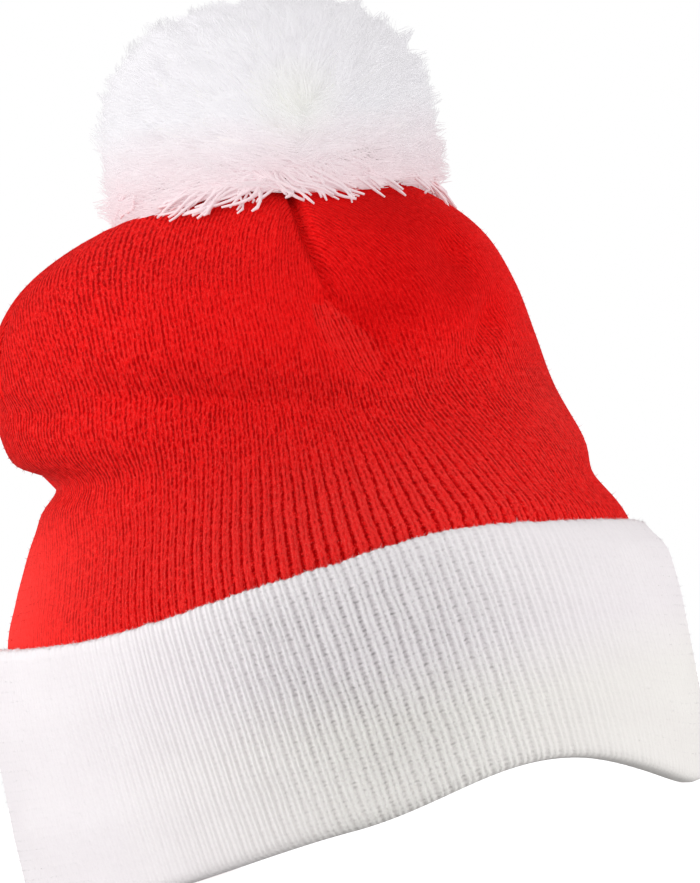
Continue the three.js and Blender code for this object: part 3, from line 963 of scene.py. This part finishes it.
def pompom_point(direction, inset):
    """The pompom's domed outer form along directions from its middle."""
    out = np.hypot(direction[:, 0], direction[:, 1]) ** POMPOM_SQUARENESS
    up = np.abs(direction[:, 2]) ** POMPOM_SQUARENESS
    reach = (out + up) ** (-1 / POMPOM_SQUARENESS)
    points = direction * (reach[:, None] * (POMPOM_SIZE - np.reshape(inset, (-1, 1))))
    return points + [0, 0, POMPOM_MIDDLE]


def on_crown(points):
    """Places points of the pompom's own frame on the hat."""
    tilt = math.radians(POMPOM_TILT)
    x = points[..., 0] * math.cos(tilt) + points[..., 2] * math.sin(tilt)
    z = points[..., 2] * math.cos(tilt) - points[..., 0] * math.sin(tilt)
    return np.stack([x + POMPOM_SHIFT, points[..., 1], z + POMPOM_SEAT], axis=-1)


def spread(count, lowest):
    """Directions spread evenly over a dome down to a lowest height."""
    index = np.arange(count)
    up = 1 - (1 - lowest) * (index + 0.5) / count
    out = np.sqrt(1 - up * up)
    around = index * math.pi * (3 - math.sqrt(5))
    return np.stack([out * np.cos(around), out * np.sin(around), up], axis=-1)


def settled(points, inset):
    """Points drawn onto the pompom's domed form, at an inset from its outside."""
    return pompom_point(unit((points - [0, 0, POMPOM_MIDDLE]) / POMPOM_SIZE), inset)


def brushed(points, out):
    """The way that the yarn lies along the pompom's surface."""
    flow = unit(points - BRUSHED_FROM) + 0.9 * unit(points - PARTING)
    front = smoothstep(-points[:, 1:2], -25, 20)
    flow = flow * front + np.array([0, 0, 1.0]) * (1 - front)
    return unit(flow - out * np.sum(flow * out, axis=-1, keepdims=True))


def make_pompom_core():
    deselect()
    bpy.ops.mesh.primitive_ico_sphere_add(subdivisions=5, radius=1)
    piece = bpy.context.object
    piece.name = "pompom_core"
    mesh = piece.data
    direction = np.empty(len(mesh.vertices) * 3, dtype=np.float32)
    mesh.vertices.foreach_get("co", direction)
    direction = unit(direction.reshape(-1, 3).astype(float))
    angle = np.degrees(np.arctan2(direction[:, 0], -direction[:, 1]))
    lumps = ripple(angle * 2, direction[:, 2] * 60, 3, 4)
    points = pompom_point(direction, CORE_INSET + 0.8 * lumps)
    away = np.linalg.norm(points - PARTING, axis=-1)
    points = points - direction * (PARTING_DEPTH * np.exp(-((away / PARTING_REACH) ** 2)))[:, None]
    points[:, 2] = np.maximum(points[:, 2], CORE_FLOOR)
    mesh.vertices.foreach_set("co", (on_crown(points) * MM).astype(np.float32).ravel())
    mesh.update()
    bpy.ops.object.shade_smooth()
    mesh.materials.append(POMPOM_DEPTH)
    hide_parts("pompom")
    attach(piece, "root")


def make_pompom_yarn(name, seed, locks, per_lock):
    """Locks of brushed yarn fibre that lie along the pompom and lift a little at their tips."""
    dice = np.random.default_rng(seed)
    direction = unit(spread(locks, -0.3) + dice.normal(0, 0.03, (locks, 3)))
    base = pompom_point(direction, 1.0)
    out = unit((base - [0, 0, POMPOM_MIDDLE]) / POMPOM_SIZE ** 2)
    flow = unit(brushed(base, out) + dice.normal(0, 0.2, base.shape))
    side = np.cross(out, flow)
    lift = np.abs(dice.normal(0.3, 1.3, locks)) + TUFT_LIFT * (dice.random(locks) > 1 - TUFT_SHARE)
    reach = dice.uniform(*LOCK_LENGTH, locks)

    fibres = locks * per_lock
    base, out, flow, side, lift, reach = (
        np.repeat(item, per_lock, axis=0) for item in (base, out, flow, side, lift, reach)
    )
    beside = side * dice.normal(0, LOCK_WIDTH, (fibres, 1))
    start = base + flow * dice.uniform(-3, 3, (fibres, 1)) + beside
    inset = dice.uniform(0.2, 3.0, fibres)
    length = (reach * dice.uniform(0.75, 1.1, fibres))[:, None]
    middle = settled(start, inset)
    root = settled(start - flow * length * 0.5, inset + 3.0)
    astray = dice.normal(0, 0.4, (fibres, 3))
    tip = settled(start + flow * length * 0.55 - beside * LOCK_PINCH + astray, inset - 0.3)
    tip = tip + out * lift[:, None]
    paths = np.stack([root, middle, tip], axis=1)
    angle = np.degrees(np.arctan2(paths[..., 0], -paths[..., 1]))
    hem = HEM_LIFT * bell(turn(HEM_MIDDLE, angle), HEM_REACH) + HEM_LOWEST
    hem = hem + dice.normal(0, 0.8, (fibres, 1))
    paths[..., 2] = paths[..., 2] + 0.85 * np.maximum(hem - paths[..., 2], 0)
    thick = dice.uniform(*FIBRE_RADIUS, fibres)
    radii = thick[:, None] * np.array([1.0, 0.95, 0.35])
    points, triangles = strands(on_crown(paths), radii)
    piece = array_piece(name, points, triangles)
    piece.data.materials.append(POMPOM_YARN)
    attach(piece, "root")


# Where round the hat strands start and end, how wide and how many they are, and how far out they end
Fringe = namedtuple("Fringe", "root tip spread count reach")
FRINGES = [
    Fringe(-5, -32, 11, 28, 51),
    Fringe(-3, -14, 9, 12, 49),
    Fringe(0, 14, 9, 26, 52),
    Fringe(21, 30, 13, 24, 48),
    Fringe(-48, -62, 16, 16, 47),
    Fringe(72, 88, 24, 20, 47),
    Fringe(130, 118, 28, 22, 47),
    Fringe(190, 206, 28, 22, 47),
    Fringe(244, 230, 24, 20, 47),
]


def crown_top(x, y):
    """The crown's height under a place near its tip."""
    wale = np.degrees(np.arctan2(x - POMPOM_SHIFT, -y)) + DART_SWING
    wales, rows = np.meshgrid(wale, np.linspace(8, CROWN_TIP, 60), indexing="ij")
    skin = smooth_crown(wales, rows)
    radius = np.hypot(skin[..., 0] - POMPOM_SHIFT, skin[..., 1])
    reach = np.hypot(x - POMPOM_SHIFT, y)
    lines = zip(reach, radius, skin)
    return np.array([np.interp(out, line[::-1], level[::-1, 2]) for out, line, level in lines])


def make_fringe():
    """Loose strands of twisted yarn that hang from the pompom's lower edge onto the crown."""
    dice = np.random.default_rng(31)
    start, end, reach = [], [], []
    for row in FRINGES:
        offset = dice.uniform(-1, 1, row.count) * row.spread
        start.extend(row.root + offset * 0.8 + dice.normal(0, 3, row.count))
        end.extend(row.tip + offset + dice.normal(0, 5, row.count))
        reach.extend(row.reach + dice.normal(-1, 1.7, row.count))
    start, end = np.radians(start), np.radians(end)
    reach = np.array(reach)
    count = len(reach)
    steps = 15
    share = np.linspace(0, 1, steps)[None, :]
    angle = start[:, None] + (end - start)[:, None] * share ** dice.uniform(0.9, 2.2, (count, 1))
    out = FRINGE_START + (reach[:, None] - FRINGE_START) * share
    x = POMPOM_SHIFT + out * np.sin(angle)
    y = -out * np.cos(angle)
    wave, curl = dice.uniform(0, 6.3, (count, 1)), dice.uniform(7, 15, (count, 1))
    x = x + dice.uniform(0.6, 2.1, (count, 1)) * share ** 0.5 * np.sin(share * curl + wave)
    y = y - dice.uniform(0, 1.2, (count, 1)) * share * np.sin(share * curl * 0.7 + wave * 2)
    ground = np.stack([crown_top(x[:, k], y[:, k]) for k in range(steps)], axis=1)
    lift = dice.uniform(0.7, 2.4, (count, 1))
    arch = ground + lift + FRINGE_RISE * (1 - share ** 1.5)
    arch = arch + 0.9 * share * np.sin(share * curl + wave * 2)
    paths = np.stack([x, y, arch], axis=-1)
    thick = dice.uniform(*STRAND_RADIUS, (count, 1))
    radii = np.broadcast_to(thick, (count, steps)).copy()
    radii = radii * (1 + 0.12 * np.sin(share * 40 + wave))
    radii[:, -1] *= 0.7
    points, triangles = strands(paths, radii, sides=8)
    piece = array_piece("pompom_fringe", points, triangles)
    piece.data.materials.append(POMPOM_STRAND)
    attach(piece, "root")


# Nap

NAP_RADIUS = 0.055
NAP_ROOT = 0.15  # how deep in the knit a fibre starts
NAP_LOWEST = 4  # no fibre starts lower than this


def make_nap(name, surface, material, count, seed, longest):
    """Short loose fibres that stand off the knit and soften its outline."""
    points, out = surface
    dice = np.random.default_rng(seed)
    across = np.linalg.norm(np.diff(points, axis=1)[:-1], axis=-1)
    along = np.linalg.norm(np.diff(points, axis=0)[:, :-1], axis=-1)
    area = across * along * (points[:-1, :-1, 2] > NAP_LOWEST)
    pick = dice.choice(area.size, count, p=(area / area.sum()).ravel())
    row, column = np.unravel_index(pick, area.shape)
    root = points[row, column]
    normal = out[row, column]
    lean = unit(normal + dice.normal(0, 0.55, (count, 3)))
    length = longest * (dice.gamma(3.0, 0.28, count)[:, None] + 0.25)
    side = unit(np.cross(lean, dice.normal(0, 1, (count, 3))))
    other = np.cross(lean, side)
    turns = np.arange(3) * 2 * np.pi / 3
    base = root - normal * NAP_ROOT
    ring = side[:, None] * np.cos(turns)[:, None] + other[:, None] * np.sin(turns)[:, None]
    tip = root + lean * length
    corners = np.concatenate([base[:, None] + ring * NAP_RADIUS, tip[:, None]], axis=1)
    faces = np.array([(0, 1, 3), (1, 2, 3), (2, 0, 3), (0, 2, 1)])
    triangles = faces[None] + (np.arange(count) * 4)[:, None, None]
    piece = array_piece(name, corners.reshape(-1, 3), triangles.reshape(-1, 3))
    piece.data.materials.append(material)
    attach(piece, "root")
    return piece


crown, crown_surface = make_crown()
cuff, cuff_surface, cuff_edge = make_cuff()
make_pompom_core()
make_pompom_yarn("pompom_yarn_outer", seed=7, locks=320, per_lock=42)
make_pompom_yarn("pompom_yarn_fill", seed=19, locks=640, per_lock=21)
make_fringe()
crown_nap = make_nap(
    "crown_nap", crown_surface, RED_NAP, count=16000, seed=41, longest=0.6
)
cuff_nap = make_nap(
    "cuff_nap", cuff_surface, WHITE_NAP, count=10000, seed=43, longest=0.45
)
edge_nap = make_nap(
    "cuff_edge_nap", cuff_edge, WHITE_NAP, count=7000, seed=47, longest=0.5
)


# Floor, light and camera

def make_floor():
    deselect()
    bpy.ops.mesh.primitive_plane_add(size=12)
    floor = bpy.context.object
    floor.name = "floor"
    material, _, shader = new_material("pale_floor")
    shader.inputs["Base Color"].default_value = (0.35, 0.35, 0.35, 1)
    shader.inputs["Roughness"].default_value = 0.9
    shader.inputs["Emission Color"].default_value = (1, 1, 1, 1)
    shader.inputs["Emission Strength"].default_value = 1.0
    floor.data.materials.append(material)
    floor.visible_diffuse = False
    floor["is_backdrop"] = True


def soft_light(name, place, target, size, power):
    lamp = bpy.data.lights.new(name, "AREA")
    lamp.shape = "RECTANGLE"
    lamp.size, lamp.size_y = size
    lamp.energy = power
    holder = bpy.data.objects.new(name, lamp)
    holder.location = place
    aim = Vector(target) - Vector(place)
    holder.rotation_euler = aim.to_track_quat("-Z", "Y").to_euler()
    bpy.context.scene.collection.objects.link(holder)


CAMERA_PLACE = Vector((0.0176, -2.5, 0.045))
CAMERA_AIM = Vector((0.0176, 0, 0.1163))
CAMERA_ROLL = -11.5  # degrees; the hat leans in the picture
CAMERA_LENS = 351


def make_camera():
    lens = bpy.data.cameras.new("camera")
    lens.lens = CAMERA_LENS
    lens.sensor_width = 36
    lens.clip_end = 50
    camera = bpy.data.objects.new("camera", lens)
    aim = CAMERA_AIM - CAMERA_PLACE
    level = aim.to_track_quat("-Z", "Y").to_matrix()
    rolled = level @ Matrix.Rotation(math.radians(CAMERA_ROLL), 3, "Z")
    camera.matrix_world = Matrix.Translation(CAMERA_PLACE) @ rolled.to_4x4()
    bpy.context.scene.collection.objects.link(camera)
    bpy.context.scene.camera = camera


def make_world():
    """A white studio: brighter in front, a little dimmer above the hat, dim high on its right and low
    down, and bright straight below."""
    world = bpy.data.worlds.new("studio")
    world.use_nodes = True
    tree = world.node_tree
    sky = next(node for node in tree.nodes if node.type == "BACKGROUND")
    sky.inputs["Color"].default_value = (1, 1, 1, 1)
    start = Tap(tree)
    way = start.node("ShaderNodeTexCoord", None, None, output=0)
    across = start.node("ShaderNodeSeparateXYZ", None, {0: way})
    depth, rise = (Tap(tree, across.socket.node.outputs[axis]) for axis in (1, 2))

    def fade(value, first, last, strength, last_strength):
        return start.node(
            "ShaderNodeMapRange", {"interpolation_type": "SMOOTHSTEP"},
            {
                "Value": value, "From Min": first, "From Max": last,
                "To Min": strength, "To Max": last_strength,
            },
        )

    facing = fade(depth, -0.9, -0.2, 1.38, 1.0)
    below = fade(rise, -0.6, -0.02, 0.3, 1.0)
    above = fade(rise, 0.1, 0.9, 1.0, 0.85)
    high_right = fade(rise * across, 0.02, 0.3, 1.0, 0.15)
    bounce = fade(rise, -1.0, -0.65, 2.6, 1.0)
    strength = facing * below * bounce * above * high_right
    tree.links.new(strength.socket, sky.inputs["Strength"])
    bpy.context.scene.world = world
    bpy.context.scene.view_settings.view_transform = "Standard"


make_floor()
make_world()
soft_light(
    "left_softbox", place=(-1.4, -0.4, 0.34), target=(0, 0, 0.1), size=(1.2, 0.9), power=11.5
)
soft_light(
    "right_softbox", place=(1.6, -0.15, 0.12), target=(0, 0, 0.08), size=(1.2, 0.2), power=13
)
make_camera()

boxes = {"cad": cad_box, "visual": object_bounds()}
{name: [list(corner) for corner in box] for name, box in boxes.items()}
